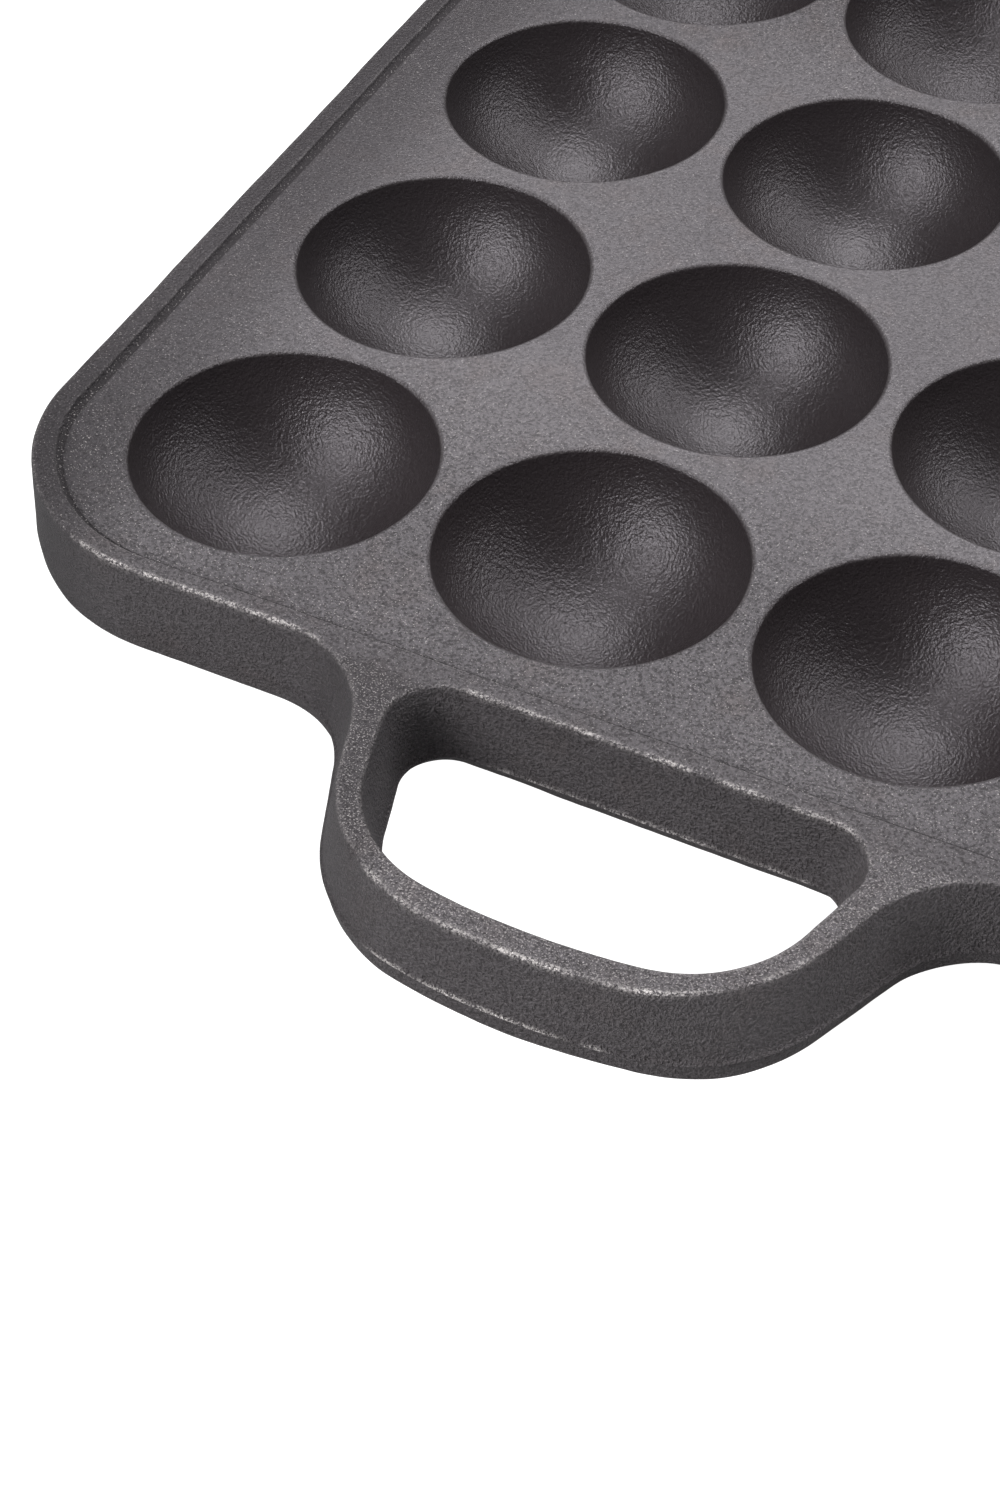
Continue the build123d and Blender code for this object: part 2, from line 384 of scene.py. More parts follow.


# %% [markdown]
# ## From grids to a mesh
#
# Every surface here is a grid of points, rows by stations. Two triangles or one quad between four
# neighbours make the skin. Sheets that belong together are put in one mesh, points in the same place are
# merged, which also closes seams and poles, and the faces are turned to point outwards. Each point keeps
# marks between 0 and about 1 for the finish. Some follow the surface: how worn it is, and whether it lies
# on a side wall, in a well, in a groove or underneath. The wall, groove and underneath marks paint shade
# into the colour, and the well mark partly does. The others follow the place: how far it lies on a loop,
# how much painted shade darkens it along the sides, at the corners and towards the rear, and how coarse the
# sand was. The wear mark is bare metal along given rubbed lines, and on the front edges and ridges it is
# also a painted glint, so it follows both, and it is worked out first.

# %% Worn places and painted glints
edge_up, ridge_up = 25, 14.2        # millimetres up: the top edges, and the ridge at the parting line
# Each line is worn bare metal. The front ones and the ridge lines are also painted glints: bright metal
# laid where light catches those edges. The amount is how bright the line is.
rub_and_glint = [                          # the ends of each rubbed line in millimetres, and how much it is worn
    ((-83, -98, edge_up), (-78, -99.5, edge_up), 0.7),              # the front rim, left of the loop
    ((-78, -99.5, edge_up), (-49, -99.8, edge_up), 1.0),
    ((-24, -100, edge_up), (26, -100, edge_up), 0.8),               # the front opening's edge
    ((-44, -97, edge_up), (-20, -97, edge_up), 0.7),                # the step behind it
    ((-23, -133, edge_up), (-3, -136.4, edge_up), 0.85),            # the front bar
    ((-3, -136.4, edge_up), (17, -135, edge_up), 1.1),
    ((17, -135, edge_up), (30, -122, edge_up), 0.6),
    # The ridge lines are chiefly a painted glint, the highlight along the parting ridge.
    ((-17, -135.4, ridge_up), (-2, -137.4, ridge_up), 2.0),         # the ridge along that bar
    ((-2, -137.4, ridge_up), (10, -136.9, ridge_up), 1.2),
    ((-18, -100.6, ridge_up), (26, -100.6, ridge_up), 0.8),         # the ridge in the opening
    ((-14, 136, edge_up), (19, 135.5, edge_up), 0.7),               # the rear bar
    ((38, 99.8, edge_up), (76, 99.5, edge_up), 0.8),                # the rear rim
    ((101.8, -30, edge_up), (101.8, 28, edge_up), 0.6),             # the right rim
]
rub_and_glint_reach = 2.6 * mm
worn_everywhere, worn_rise = 0.16, 3 * mm       # the least wear, reached this far above the parting line


def wear_and_glint_at(points):
    """How worn a point may be, with painted glints along the front edges and ridges: a little all over
    above the parting line, and more near a rubbed line, by exp(-(distance / reach)^2)."""
    amount = worn_everywhere * smooth((points[:, 2] - parting) / worn_rise)
    for start, end, most in rub_and_glint:
        start, end = np.array(start) * mm, np.array(end) * mm
        share = np.clip((points - start) @ (end - start) / ((end - start) @ (end - start)), 0, 1)
        distance = np.linalg.norm(points - start - share[:, None] * (end - start), axis=1)
        amount = np.maximum(amount, most * np.exp(-(distance / rub_and_glint_reach)**2))
    return amount


print("rubbed lines:", len(rub_and_glint))


# %% [markdown]
# The other marks of place are smooth steps too. Painted shade lies darkest along the side rims, most of all
# on their walls, with a little more at the corners and towards the rear, and over the loops' left arms. The
# sand was coarser at the pan's two ends, but less so in the wells, whose cores were smoother.

# %% Places of painted shade and of coarse sand
shade_sides, shade_corners = (74 * mm, 22 * mm), (150 * mm, 40 * mm)      # where it begins, and its rise
shade_rear, shade_left = (-70 * mm, 60 * mm), (16 * mm, 14 * mm)
shade_on_deck = 0.6                  # along the sides, where the wall has 1
shade_at_corners, shade_at_rear, shade_on_loops = 0.2, 0.2, 0.6
coarse_ends, finest_sand = (30 * mm, 50 * mm), 0.45
core_smoothness = 0.7               # how much less the sand's coarseness grows in a well
loop_rise = 3 * mm                  # the mark of a loop is full this far beyond the plate


def rise(value, place):
    """0 up to where a place begins, and 1 from where it is full."""
    begins, length = place
    return smooth((value - begins) / length)


def painted_falloff(points, side, loop):
    """The painted shade: the sum of what lies along the sides, at the corners, towards the rear and on the
    loops.
    """
    x, y = np.abs(points[:, 0]), np.abs(points[:, 1])
    along_sides = rise(x, shade_sides) * (shade_on_deck + (1 - shade_on_deck) * side)
    at_corners = shade_at_corners * rise(x + y, shade_corners)
    at_rear = shade_at_rear * rise(points[:, 1], shade_rear)
    return along_sides + at_corners + at_rear + shade_on_loops * loop * rise(-points[:, 0], shade_left)


def coarseness(points, well):
    """The least in the middle, rising to 1 at both ends, but only by a part of that in a well."""
    in_well = 1 - core_smoothness * well.clip(0, 1)
    return finest_sand + (1 - finest_sand) * rise(np.abs(points[:, 1]), coarse_ends) * in_well


# %% Grids to meshes
# The wear mark also holds painted glints. The side, groove and under marks and the falloff shade are
# painted shade, and the well mark partly is.
marks = ("wear", "side", "well", "groove", "under", "loop", "falloff_shade", "coarse")
merge_distance, sharp_angle = 0.002 * mm, np.radians(38)


def stretch(height, inset, **shares):
    """Rows of a profile, as columns height, inset and the marks. A single number serves for every row."""
    columns = [height, inset] + [shares.get(mark, 0) for mark in marks]
    return np.stack(np.broadcast_arrays(*columns), axis=1).astype(float)


def quads(rows, stations, first):
    """The four corners of each face between neighbours, counted from first. The last station joins the
    first one."""
    corner = np.arange(rows * stations).reshape(rows, stations) + first
    right = np.roll(corner, -1, axis=1)
    return np.stack([corner[:-1], right[:-1], right[1:], corner[1:]], axis=-1).reshape(-1, 4)


def region(name, sheets, slot, *nodes):
    """One mesh from its sheets, each a closed grid of points with its rows of marks. It stands for these
    nodes."""
    faces, first = [], 0
    for points, _ in sheets:
        faces.append(quads(*points.shape[:2], first))
        first += points.shape[0] * points.shape[1]
    mesh = bpy.data.meshes.new(name)
    points = np.concatenate([points.reshape(-1, 3) for points, _ in sheets])
    mesh.from_pydata(points, [], np.concatenate(faces).tolist())
    rows = np.concatenate([np.repeat(rows, points.shape[1], axis=0) for points, rows in sheets])
    shares = dict(zip(marks, rows.T))
    shares["wear"] = shares["wear"] * wear_and_glint_at(points)
    shares["loop"] = rise(np.abs(points[:, 1]), (half_length, loop_rise))
    shares["falloff_shade"] = painted_falloff(points, shares["side"], shares["loop"])
    shares["coarse"] = coarseness(points, shares["well"])
    for mark, share in shares.items():
        mesh.attributes.new(mark, "FLOAT", "POINT").data.foreach_set("value", share.astype(np.float32))
    bm = bmesh.new()
    bm.from_mesh(mesh)
    bmesh.ops.remove_doubles(bm, verts=bm.verts, dist=merge_distance)
    bmesh.ops.recalc_face_normals(bm, faces=bm.faces)
    open_edges = sum(not e.is_manifold for e in bm.edges)
    bm.to_mesh(mesh)
    bm.free()
    mesh.shade_smooth()
    mesh.set_sharp_from_angle(angle=sharp_angle)
    piece = bpy.data.objects.new(name, mesh)
    bpy.context.scene.collection.objects.link(piece)
    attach(piece, "root")
    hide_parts(*nodes)
    print(name, len(mesh.polygons), "faces,", open_edges, "open edges")
    return piece


# %% [markdown]
# ## The walls' profile
#
# A profile carried along a path makes each wall. This one goes over a rounded edge, down the leaning wall
# to the parting line, where metal squeezed between the two halves of the mould and left a low ridge, back
# in below it, and round the bottom edge. The marks say where the iron is worn bright, at the edges, and
# where a painted glint lies, on the ridge and the front edges. They also paint shade into the colour: on
# the walls and flat tops, more below the parting line, and on the bottom edge's underside.

# %% The walls' profile
top_rounding, bottom_rounding = 0.5 * mm, 0.6 * mm
ridge_height, ridge_width = 0.32 * mm, 0.55 * mm
ridge_rise = np.array([0, 0.2, 0.7, 1, 0.5, 0.1, 0])
wall_rows, sweep = 15, np.linspace(0, np.pi / 2, 7)         # sweep: the angles over a rounded edge
swept = sweep / sweep[-1]
flat_insets, flat_wear = np.array([1.0, 0.65]) * mm, [0, 0.12]      # just before the rounding begins
top_wear = np.sin(0.35 + 1.6 * sweep).clip(0)               # most in the middle of the rounding
edge_wear = 0.5                     # of the bottom edge and of the step's crest
# Painted shade: the side mark darkens the walls fully, the flat tops by top_shade and the wall below the
# parting line by below.
top_shade, below = 0.38, 1.2        # the side mark on the flat tops, and below the parting line
wall_profile = np.concatenate([
    stretch(rim_top, flat_insets, wear=flat_wear, side=top_shade),
    stretch(rim_top - top_rounding * (1 - np.cos(sweep)), top_rounding * (1 - np.sin(sweep)),
            wear=top_wear, side=np.maximum(top_shade, swept)),
    stretch(np.linspace(rim_top - top_rounding, parting + ridge_width, wall_rows)[1:-1], 0, side=1),
    stretch(parting + ridge_width * np.linspace(1, -1, len(ridge_rise)), -ridge_height * ridge_rise,
            wear=ridge_rise, side=np.linspace(1, below, len(ridge_rise))),
    stretch(skirt_bottom + bottom_rounding * (1 - np.sin(sweep)), bottom_rounding * (1 - np.cos(sweep)),
            wear=edge_wear * np.sin(2 * sweep), side=below * (1 - swept), under=swept),
])
print("rows in a wall:", len(wall_profile))

# %% [markdown]
# ## Rim and loops
#
# The outline is worked out again for the height and inset of each row of the profile. `wall_sheet` stacks
# those rows and adds the flat ones that reach in to the middle line. A quarter or half is then mirrored
# into a closed ring.

# %% Walls
flat_shares = np.array([0, 0.34, 0.67])         # where the flat rows lie between the middle line and a wall
ridge_fade = 1 * mm                             # over this length beyond the plate the ridge grows
quarters = ((1, 1), (1, -1), (-1, -1), (-1, 1))


def level(path, height):
    """A line on the plan, at one height."""
    return np.column_stack([path, np.full(len(path), height)])


def with_flats(rows, middle):
    """The rows, with flat ones before and after them that lead from the middle line and back to it."""
    top, bottom = level(middle, rows[0][0, 2]), level(middle, rows[-1][0, 2])
    before = [top + share * (rows[0] - top) for share in flat_shares]
    after = [bottom + share * (rows[-1] - bottom) for share in flat_shares[::-1]]
    return np.stack([*before, *rows, *after])


def wall_sheet(edge, places, middle):
    """The wall profile carried along an edge: each row is that edge for the row's height and inset. The
    ridge, where inset is below 0, is on the loops only."""
    rows = []
    for height, inset in wall_profile[:, :2]:
        plain = along(edge(height, max(inset, 0)), places)
        ridge = along(edge(height, min(inset, 0)), places) - along(edge(height), places)
        share = smooth((plain[:, 1:] - half_length) / ridge_fade)
        rows.append(level(plain + share * ridge, height))
    return with_flats(rows, middle)


def mirrored(points, x, y):
    """The points on the other side of the middle planes whose sign is -1."""
    return points * [x, y, 1]


def ring(quarter):
    """A quarter and its three mirror images, joined end to end. Every second one runs backwards."""
    turns = [mirrored(quarter, x, y)[:, ::(1 if x * y > 0 else -1)][:, :-1] for x, y in quarters]
    return np.concatenate(turns, axis=1)


def flat_marks(profile):
    """The profile's marks, with those of its first and last rows repeated for the flat ones, but unworn."""
    rows = profile[:, 2:]
    ends = [np.repeat(rows[[end]], len(flat_shares), axis=0) for end in (0, -1)]
    return np.concatenate([ends[0], rows, ends[1]])


outer = wall_sheet(pan_edge, np.concatenate([outer_loop, outer_plate[1:]]),
                   np.concatenate([loop_middle, plate_middle[1:]]))
inner = wall_sheet(opening_edge, np.concatenate([inner_loop, inner_near[1:]]),
                   np.concatenate([loop_middle, near_middle[1:]]))
opening = np.concatenate([inner, mirrored(inner, -1, 1)[:, -2:0:-1]], axis=1)
print("outer wall", ring(outer).shape, "opening", opening.shape)

# %% [markdown]
# The third surface steps down from the rim's top to the deck, with a rounded crest and a hollow at its
# foot, which is darkened with painted shade that runs a little way onto the deck. At the deck it meets the
# wells' regions, so it turns down through the iron there, and comes out below as the skirt's inside.

# %% The step and the skirt's inside
crest, step_fillet, inner_rounding = 0.3 * mm, 0.85 * mm, 0.6 * mm
deck_underside = deck_top - deck_thickness
# painted shade that runs on from the hollow a little way over the deck
hollow_shade_reach, hollow_shade = np.array([0.08, 0.2, 0.5]) * mm, [1, 0.15, 0]    # on the deck, just beyond the hollow
bend = np.linspace(0, np.pi / 2, 6)
step_profile = np.concatenate([
    stretch(rim_top - crest * (1 - np.cos(bend)), rim_width - crest * (1 - np.sin(bend)),
            wear=edge_wear * np.sin(2 * bend), side=top_shade),
    stretch(deck_top + step_fillet * (1 - np.sin(bend)), rim_width + step_fillet * (1 - np.cos(bend)),
            groove=np.linspace(0.7, 1, len(bend))),
    stretch(deck_top, rim_width + step_fillet + hollow_shade_reach, groove=hollow_shade),
    stretch([deck_top], skirt_thickness),
    # painted shade on the deck's underside and the skirt's inside
    stretch([deck_underside, deck_underside - skirt_fillet], skirt_thickness, under=1),
    stretch(skirt_bottom + inner_rounding * (1 - np.sin(bend)),
            skirt_thickness - inner_rounding * (1 - np.cos(bend)), under=1),
])
deck_places = np.concatenate([deck_near[::-1], deck_plate[1:]])
step_rows = [level(along(deck_edge(inset), deck_places), height) for height, inset in step_profile[:, :2]]
step = with_flats(step_rows, np.concatenate([near_middle[::-1], plate_middle[1:]]))
rim = region("rim_and_loops", [
    (cast(ragged(ring(outer))), flat_marks(wall_profile)),
    (cast(ragged(opening)), flat_marks(wall_profile)),
    (cast(ragged(mirrored(opening, 1, -1))), flat_marks(wall_profile)),
    (cast(ragged(ring(step))), flat_marks(step_profile)),
], "raw_iron", "rim_front", "rim_rear", "rim_left", "rim_right", "front_handle", "rear_handle")

# %% [markdown]
# ## Wells
#
# Each well and its share of the deck is one surface round the well's middle: from the pole at its bottom
# up the sphere, over the lip's rounding, out along the deck to the border, down through the iron, back in
# along the underside and down the cup to the flat foot. In every direction the border lies at its own
# distance, so the same rows and angles fit the square wells in the middle and the rounded ones at the
# corners.

# %% The border of a well's share
well_edge, edge_radius = plate - skirt_thickness, corner_radius - skirt_thickness
angle_count = 192                   # directions round a well, before those to the corners of its share
same_angle = 6                      # decimals to which two directions are the same
least_cosine = 1e-9                 # keeps the division by a direction's cosine finite


def border(centre, heading):
    """How far the border lies: the nearer of the square's sides, and the round corner where there is one.
    Distance to a side is side / cosine; to the round corner it is the larger root of |p + t d - c| = r."""
    outward = heading * np.sign(centre)
    outermost = np.abs(centre) > (count / 2 - 1) * pitch
    far = np.where(outermost, well_edge - np.abs(centre), pitch / 2)
    reach = np.where(outward > 0, far, pitch / 2) / np.maximum(np.abs(heading), least_cosine)
    distance = reach.min(axis=1)
    hit = np.abs(centre + distance[:, None] * heading)
    start = np.abs(centre) - corner_middle
    along_ray = outward @ start
    rounded = -along_ray + np.sqrt(np.maximum(along_ray**2 - start @ start + edge_radius**2, 0))
    return np.where((hit > corner_middle).all(axis=1), rounded, distance)


def directions(centre):
    """Even angles round a well, and those that lead to the corners of its share."""
    far = np.maximum(well_edge - np.abs(centre), 0)
    reaches = [(w, h) for w in (pitch / 2, far[0]) for h in (pitch / 2, far[1])]
    corners = [np.arctan2(y * h, x * w) for x, y in quarters for w, h in reaches]
    even = np.linspace(-np.pi, np.pi, angle_count, endpoint=False)
    return np.unique(np.round(np.concatenate([even, corners]), same_angle))


# %% [markdown]
# The underside is a height for every point of the plan: the lowest of the cup's outside, with its fillet
# up to the deck, and the fillet inside the skirt. Where two cups meet, the mould's sharp ridge is rubbed
# round, which a smooth minimum does: it takes a little more than the lower one where both are nearly
# level.

# %% The underside
sphere_radius = (well_radius**2 + well_depth**2) / (2 * well_depth)
sphere_rise = sphere_radius - well_depth
sphere_height = deck_top + sphere_rise
cup_radius = sphere_radius + cup_wall
fillet_height = deck_underside - cup_fillet
fillet_reach = np.sqrt((cup_radius + cup_fillet)**2 - (sphere_height - fillet_height)**2)
cup_tangent = fillet_reach * cup_radius / (cup_radius + cup_fillet)
groove_softness = 1.5 * mm
slope_away = 0.5                    # rise of the cup's surface per length, beyond its fillet
offsets = (np.arange(count) - (count - 1) / 2) * pitch


def cup_height(reach):
    """The cup's outside this far from its middle: the sphere, then the fillet, then a slope away."""
    sphere = sphere_height - np.sqrt(np.maximum(cup_radius**2 - reach**2, 0))
    fillet = fillet_height + np.sqrt(np.maximum(cup_fillet**2 - (fillet_reach - reach)**2, 0))
    beyond = deck_underside + slope_away * (reach - fillet_reach)
    return np.where(reach < cup_tangent, sphere, np.where(reach < fillet_reach, fillet, beyond))


def underside(x, y):
    """The smooth minimum of the two nearest cups, low - k / 4 * (1 - gap / k)^2, or the deck or skirt."""
    heights = np.sort([cup_height(np.hypot(x - a, y - b)) for a in offsets for b in offsets], axis=0)
    near = np.maximum(1 - (heights[1] - heights[0]) / groove_softness, 0)
    cups = heights[0] - groove_softness / 4 * near**2
    dx, dy = np.abs(x) - corner_middle[0], np.abs(y) - corner_middle[1]
    reach = np.where((dx > 0) & (dy > 0), np.hypot(dx, dy), np.maximum(dx, dy))
    gap = skirt_fillet - np.clip(edge_radius - reach, 0, skirt_fillet)
    skirt = deck_underside - skirt_fillet + np.sqrt(np.maximum(skirt_fillet**2 - gap**2, 0))
    return np.minimum(cups, np.minimum(deck_underside, skirt))


print("between two cups the underside rises to", round(float(underside(0.0, pitch / 2)), 5))


# %% A well
lip_reach = np.sqrt((sphere_radius + lip_radius)**2 - (sphere_rise + lip_radius)**2)
lip_angle = np.arcsin(lip_reach / (sphere_radius + lip_radius))
bowl_rows, lip_rows, deck_rows, under_rows = 34, 9, 9, 40
# Carrying the well mark up the lip also darkens it: painted shade at the well's edge.
lip_darkness, lip_wear = 0.4, 0.25  # below 1 the well's mark stays high far up the lip
bowl_turn, lip_turn = np.linspace(0, lip_angle, bowl_rows), np.linspace(lip_angle, 0, lip_rows)[1:]
well_profile = np.concatenate([
    stretch(sphere_height - sphere_radius * np.cos(bowl_turn), sphere_radius * np.sin(bowl_turn), well=1),
    stretch(deck_top - lip_radius * (1 - np.cos(lip_turn)), lip_reach - lip_radius * np.sin(lip_turn),
            well=(lip_turn / lip_angle)**lip_darkness, wear=lip_wear * np.sin(lip_turn * 2).clip(0)),
])
deck_shares, under_shares = np.linspace(0, 1, deck_rows)[1:], np.linspace(1, 0, under_rows)
foot_shares = np.array([0.5, 0])


def well_surface(centre):
    """Rows round a well: its profile turned, the deck to the border, the underside back in, the foot."""
    angles = directions(centre)
    heading = np.stack([np.cos(angles), np.sin(angles)], axis=1)
    reach = border(centre, heading)
    bowl = [level(centre + distance * heading, height) for height, distance in well_profile[:, :2]]
    deck = [level(centre + (lip_reach + share * (reach - lip_reach))[:, None] * heading, deck_top)
            for share in deck_shares]
    under = [centre + (foot_radius + share * (reach - foot_radius))[:, None] * heading
             for share in under_shares]
    under = [np.column_stack([plan, underside(*plan.T)]) for plan in under]
    foot = [level(centre + share * foot_radius * heading, 0) for share in foot_shares]
    return np.stack(bowl + deck + under + foot)


well_marks = np.concatenate([
    well_profile[:, 2:],
    stretch(np.zeros(len(deck_shares)), 0)[:, 2:],
    stretch(np.zeros(len(under_shares) + len(foot_shares)), 0, under=1)[:, 2:],
])
wells = [
    region(f"well_{row + 1}_{column + 1}", [(cast(well_surface(np.array([x, y]))), well_marks)],
           "seasoned_iron", f"well_r{row + 1}_c{column + 1}")
    for row, y in enumerate(offsets) for column, x in enumerate(offsets)
]

# %% [markdown]
# ## Nodes
#
# A node material is a chain of small steps, and it reads best when each step is one line. `node` makes
# one with its settings and inputs, where an input is a number, a colour or another node's output. `sand`
# is the most used: noise on Object coordinates, with the size of its grains in millimetres, so the
# pattern has a real scale. Its detail says how often a finer noise is added, and its roughness how strong
# each of those is beside the one before.

# %% Node helpers
sands = {                           # the size of the grains in millimetres, the detail and its roughness
    "drift": (34, 3.0, 0.6),        # greys over the whole pan
    "rust": (9, 4.0, 0.65),         # faint brown clouds
    "patches": (5.0, 3.0, 0.6),     # where an edge is worn and where it isn't
    "lumps": (1.6, 2.0, 0.5),
    "peel": (0.8, 2.0, 0.5),        # the skin in the wells
    "grain": (0.40, 2.0, 0.65),
    "broken": (0.32, 3.0, 0.7),     # gaps in the worn metal
    "speck": (0.24, 1.0, 0.5),
}


def node(tree, kind, inputs, **settings):
    """One node. Each input is a number, a colour or an output to link."""
    made = tree.nodes.new("ShaderNode" + kind)
    for name, value in settings.items():
        setattr(made, name, value)
    for name, value in inputs.items():
        if isinstance(value, bpy.types.NodeSocket):
            tree.links.new(value, made.inputs[name])
        else:
            made.inputs[name].default_value = value
    return made


def sand(tree, name):
    """Noise between 0 and 1, of the kind that the table of sands gives."""
    size, detail, roughness = sands[name]
    place = node(tree, "TexCoord", {}).outputs["Object"]
    return node(tree, "TexNoise", {"Vector": place, "Scale": 1 / (size * mm), "Detail": detail,
                                   "Roughness": roughness}).outputs["Fac"]


def combine(tree, operation, *values):
    """One sum, difference or other operation on numbers or outputs."""
    return node(tree, "Math", dict(enumerate(values)), operation=operation).outputs[0]


def times(tree, first, second):
    """The product of two numbers or outputs."""
    return combine(tree, "MULTIPLY", first, second)


def between(tree, value, low, high, first=0.0, last=1.0):
    """The value brought from low..high to first..last, and held there beyond."""
    return node(tree, "MapRange", {"Value": value, "From Min": low, "From Max": high, "To Min": first,
                                   "To Max": last}).outputs[0]


def blend(tree, share, first, last):
    """From the first colour to the last by this share."""
    mixed = node(tree, "Mix", {"Factor": share}, data_type="RGBA")
    for socket, value in (("A_Color", first), ("B_Color", last)):
        target = next(s for s in mixed.inputs if s.identifier == socket)
        if isinstance(value, bpy.types.NodeSocket):
            tree.links.new(value, target)
        else:
            target.default_value = (*value, 1)
    return next(s for s in mixed.outputs if s.identifier == "Result_Color")


def mark(tree, name):
    """The mark that each point of the mesh keeps."""
    return node(tree, "Attribute", {}, attribute_name=name).outputs["Fac"]


print("kinds of sand:", ", ".join(sands))


# %% [markdown]
# ## Cast iron
#
# The mould's sand leaves grains of a few tenths of a millimetre on every face, over broader lumps. The
# oxide and the burnt-on oil make the iron a nearly black grey, a little violet, that hardly shines on the
# deck, with a few bright specks where the sand was coarse. The wells were cast against a smoother core:
# they are satin, with a skin like an orange's. Edges that were ground or knocked show bright metal, broken
# up by the grain, and on the front edges and ridges that bright metal is also a painted glint. One finish
# holds all of this, with painted shade on the walls and flat tops, in the step's hollow, underneath and
# towards the sides: the marks of the mesh say how much of each belongs where.

# %% The iron's colours
dark_grey, light_grey = (0.114, 0.106, 0.113), (0.132, 0.123, 0.130)
# The last colour here, bright metal, serves both worn edges and the painted glints.
rust_brown, pit_black, bare_metal_and_glint = (0.125, 0.095, 0.085), (0.030, 0.028, 0.029), (0.70, 0.66, 0.65)
drift_range, rust_range, pit_range = (0.35, 0.65), (0.52, 0.78), (0.38, 0.56)      # of the noise
most_rust, most_pit, fine_pit = 0.35, 0.88, 0.65        # how strong they are, and pits in the finest sand
darkened = [                        # a mark, how far it darkens the iron, and towards which colour
    # the wells' own darker tone, deepened with painted shade for their shaded walls and lip
    ("well", 0.94, (0.017, 0.013, 0.014)),
    # painted shade on the walls and flat tops, where less light falls
    ("side", 0.50, (0.024, 0.019, 0.019)),
    # painted shade in the hollow at the step's foot
    ("groove", 0.85, (0.012, 0.011, 0.011)),
    # painted shade underneath
    ("under", 0.5, (0.020, 0.019, 0.019)),
    # painted shade, darkest on the side walls and falling off along the sides, at the corners, towards the
    # rear and on the loops' left arms
    ("falloff_shade", 0.95, (0.014, 0.012, 0.013)),
]


def iron_colour(tree, grain):
    """Drifting grey with faint rust, dark in the pits between grains, and darker where a mark paints shade
    or gives the wells their own darker tone.
    """
    grey = blend(tree, between(tree, sand(tree, "drift"), *drift_range), dark_grey, light_grey)
    rust = times(tree, between(tree, sand(tree, "rust"), *rust_range), most_rust)
    tinted = blend(tree, rust, grey, rust_brown)
    pits = between(tree, grain, *pit_range, most_pit, 0.0)
    pits = times(tree, pits, between(tree, mark(tree, "coarse"), finest_sand, 1, fine_pit, 1.0))
    colour = blend(tree, pits, tinted, pit_black)
    for name, share, tone in darkened:
        colour = blend(tree, times(tree, mark(tree, name), share), colour, tone)
    return colour


# %% [markdown]
# Bright metal shows in two ways. A worn edge is bright, and on the front edges and ridges that brightness
# is also a painted glint, broken up by the grain and by broad patches.
# Specks are the few highest points of a still finer noise, and a loop has more of them than the deck. The
# relief is one height, the sum of grain, lumps and skin, each weighed by the well's mark, and one bump
# turns it into shading. A tint on the gloss keeps its highlights a little violet, as the oxide's are.

# %% Bright metal and painted glints
broken_range, patch_range = (0.45, 0.57), (0.36, 0.56)
rare_on_deck, rare_on_loops, speck_edge = 0.66, 0.59, 0.05      # noise above this is a speck
most_speck, speck_on_walls = 0.55, 0.1          # how bright it is, and its share left on walls and in wells


def metal_and_glints(tree, well):
    """How worn the iron is, with its painted glints, and how bright: the larger of the wear and the specks.
    """
    broken = between(tree, sand(tree, "broken"), *broken_range)
    patches = between(tree, sand(tree, "patches"), *patch_range)
    worn_and_glinting = times(tree, times(tree, mark(tree, "wear"), broken), patches)
    rarity = between(tree, mark(tree, "loop"), 0, 1, rare_on_deck, rare_on_loops)
    speck = combine(tree, "SUBTRACT", sand(tree, "speck"), rarity)
    speck = times(tree, between(tree, speck, 0, speck_edge, 0, most_speck), mark(tree, "coarse"))
    wall_or_well = combine(tree, "MAXIMUM", well, mark(tree, "side"))
    speck = times(tree, speck, between(tree, wall_or_well, 0, 1, 1, speck_on_walls))
    return worn_and_glinting, combine(tree, "MAXIMUM", worn_and_glinting, speck)


# %% The iron's surface
deck_roughness, well_roughness = 0.50, 0.30
# the groove's extra roughness dulls the gloss where the hollow has painted shade
grain_roughness, groove_roughness, wear_polish = 0.10, 0.4, 0.15
grain_relief, lump_relief, peel_relief = (1.0, 0.27), (0.14, 0.05), 0.17        # on the deck and in a well
relief_height, metal_share, gloss_tint = 1.0 * mm, 0.6, (0.99, 0.94, 1.0, 1)


def iron(title):
    """The finish for every region."""
    material = bpy.data.materials.new(title)
    material.use_nodes = True
    tree = material.node_tree
    shader = tree.nodes["Principled BSDF"]
    well = mark(tree, "well")
    grain, lumps, peel = (sand(tree, name) for name in ("grain", "lumps", "peel"))
    worn_and_glinting, bright = metal_and_glints(tree, well)
    colour = blend(tree, bright, iron_colour(tree, grain), bare_metal_and_glint)
    tree.links.new(colour, shader.inputs["Base Color"])
    tree.links.new(times(tree, bright, metal_share), shader.inputs["Metallic"])
    rough = between(tree, well, 0, 1, deck_roughness, well_roughness)
    rough = combine(tree, "SUBTRACT", rough, times(tree, worn_and_glinting, wear_polish))
    rough = combine(tree, "ADD", rough, times(tree, mark(tree, "groove"), groove_roughness))
    rough = combine(tree, "ADD", rough, times(tree, grain, grain_roughness))
    tree.links.new(rough, shader.inputs["Roughness"])
    shader.inputs["Specular IOR Level"].default_value = 0.5
    shader.inputs["Specular Tint"].default_value = gloss_tint
    relief = times(tree, grain, between(tree, well, 0, 1, *grain_relief))
    relief = combine(tree, "ADD", relief, times(tree, lumps, between(tree, well, 0, 1, *lump_relief)))
    relief = combine(tree, "ADD", relief, times(tree, peel, times(tree, well, peel_relief)))
    bump = node(tree, "Bump", {"Height": relief, "Distance": relief_height,
                               "Strength": mark(tree, "coarse")})
    tree.links.new(bump.outputs[0], shader.inputs["Normal"])
    return material


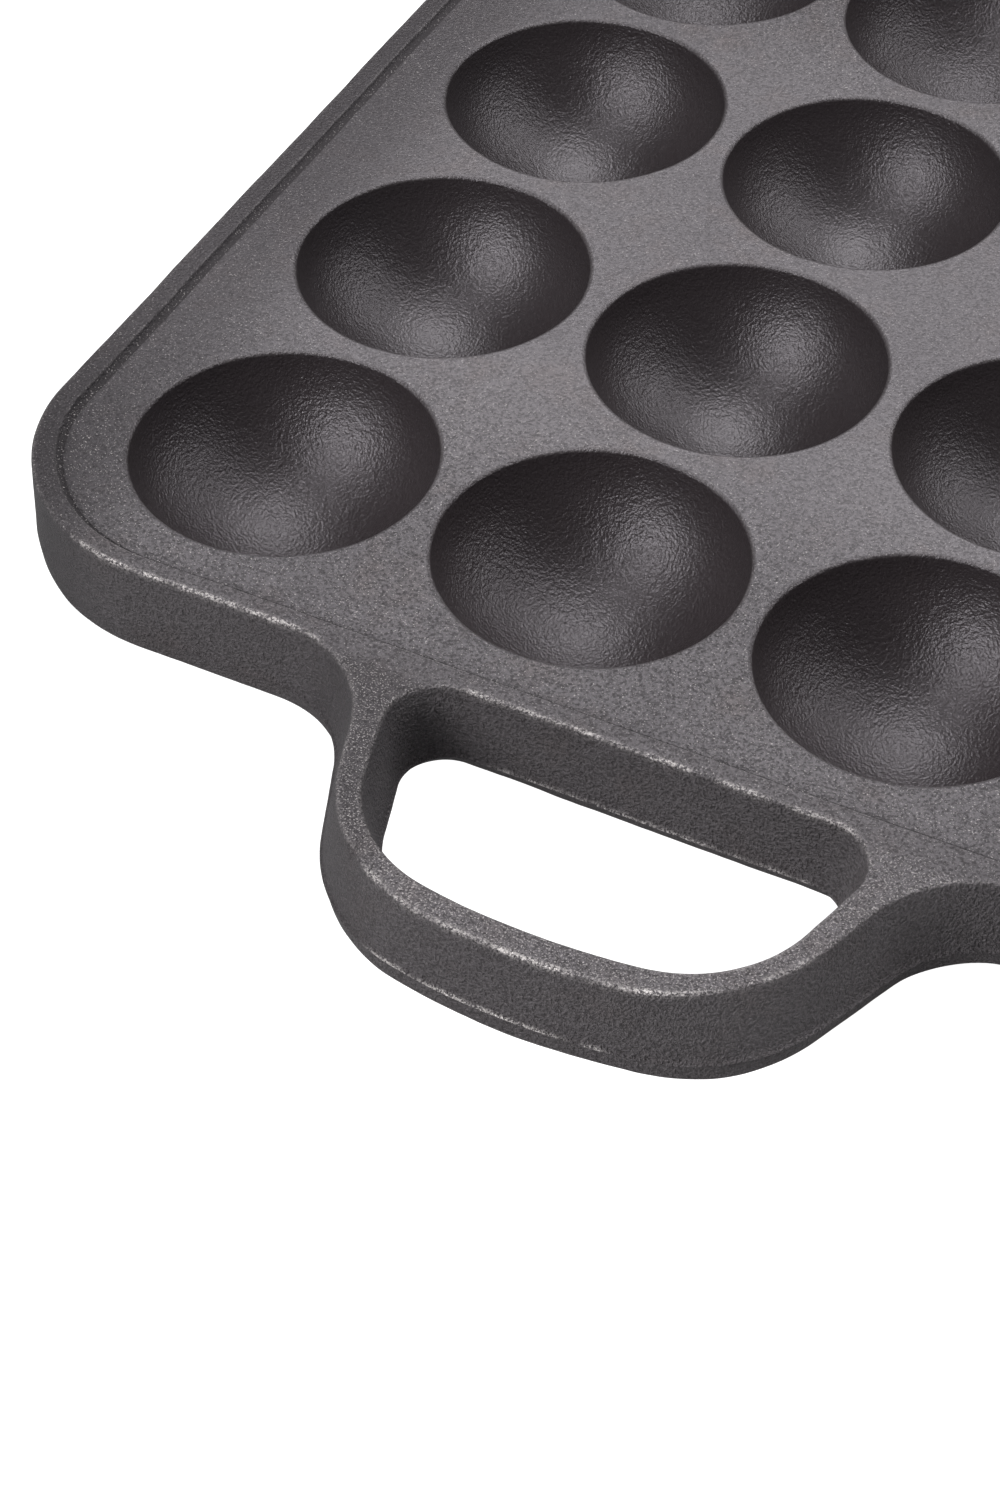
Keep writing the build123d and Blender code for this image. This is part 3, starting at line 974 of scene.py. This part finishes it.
iron_finish = iron("sand_cast_iron")
for piece in [rim, *wells]:
    piece.data.materials.append(iron_finish)
print("nodes in the iron:", len(iron_finish.node_tree.nodes))

# %% [markdown]
# ## Floor and light
#
# Black iron is seen by what it mirrors, so the softboxes do most of the work: one overhead and a little
# behind, one low in front to the left, and a weaker one to the right. The floor is grey and glows, as a
# light table does, but it lights the walls from below much less than it shines to the eye: a light path
# node tells the two kinds of ray apart, and so the floor looks white under the pan too, where its shadow
# would fall.

# %% The floor
floor_half, floor_grey, floor_roughness = 4.0, 0.27, 0.9
glow_on_pan, glow_to_eye = 0.12, 1.0            # for rays from the pan, and for those from the camera
floor_mesh = bpy.data.meshes.new("floor")
floor_corners = [(floor_half * x, floor_half * y, 0) for x, y in ((-1, -1), (1, -1), (1, 1), (-1, 1))]
floor_mesh.from_pydata(floor_corners, [], [(0, 1, 2, 3)])
floor = bpy.data.objects.new("floor", floor_mesh)
bpy.context.scene.collection.objects.link(floor)
floor_material = bpy.data.materials.new("floor")
floor_material.use_nodes = True
floor_shader = floor_material.node_tree.nodes["Principled BSDF"]
floor_shader.inputs["Base Color"].default_value = (floor_grey, floor_grey, floor_grey, 1)
floor_shader.inputs["Roughness"].default_value = floor_roughness
floor_shader.inputs["Specular IOR Level"].default_value = 0.0
floor_shader.inputs["Emission Color"].default_value = (1, 1, 1, 1)
seen = floor_material.node_tree.nodes.new("ShaderNodeLightPath").outputs["Is Camera Ray"]
floor_glow = between(floor_material.node_tree, seen, 0, 1, glow_on_pan, glow_to_eye)
floor_material.node_tree.links.new(floor_glow, floor_shader.inputs["Emission Strength"])
floor_mesh.materials.append(floor_material)
print("floor", 2 * floor_half, "m wide")


# %% The softboxes
box_distance, room_light = 0.9, 0.095


def softbox(name, towards, size, power):
    """A square light of this size and power, in this direction from the origin, turned to face it."""
    lamp = bpy.data.lights.new(name, "AREA")
    lamp.shape, lamp.size, lamp.energy = "SQUARE", size, power
    box = bpy.data.objects.new(name, lamp)
    heading = Vector(towards).normalized()
    box.location = heading * box_distance
    box.rotation_euler = heading.to_track_quat("Z", "Y").to_euler()
    bpy.context.scene.collection.objects.link(box)
    print("softbox", name, "at", tuple(round(x, 3) for x in box.location))


softbox("overhead", (-0.06, 0.23, 0.97), 0.60, 9.8)
softbox("front_left", (-0.38, -0.79, 0.48), 0.46, 8.5)
softbox("right", (0.70, 0.44, 0.56), 0.55, 6.0)
world = bpy.data.worlds.new("studio")
world.use_nodes = True
world.node_tree.nodes["Background"].inputs["Color"].default_value = (1, 1, 1, 1)
world.node_tree.nodes["Background"].inputs["Strength"].default_value = room_light
bpy.context.scene.world = world
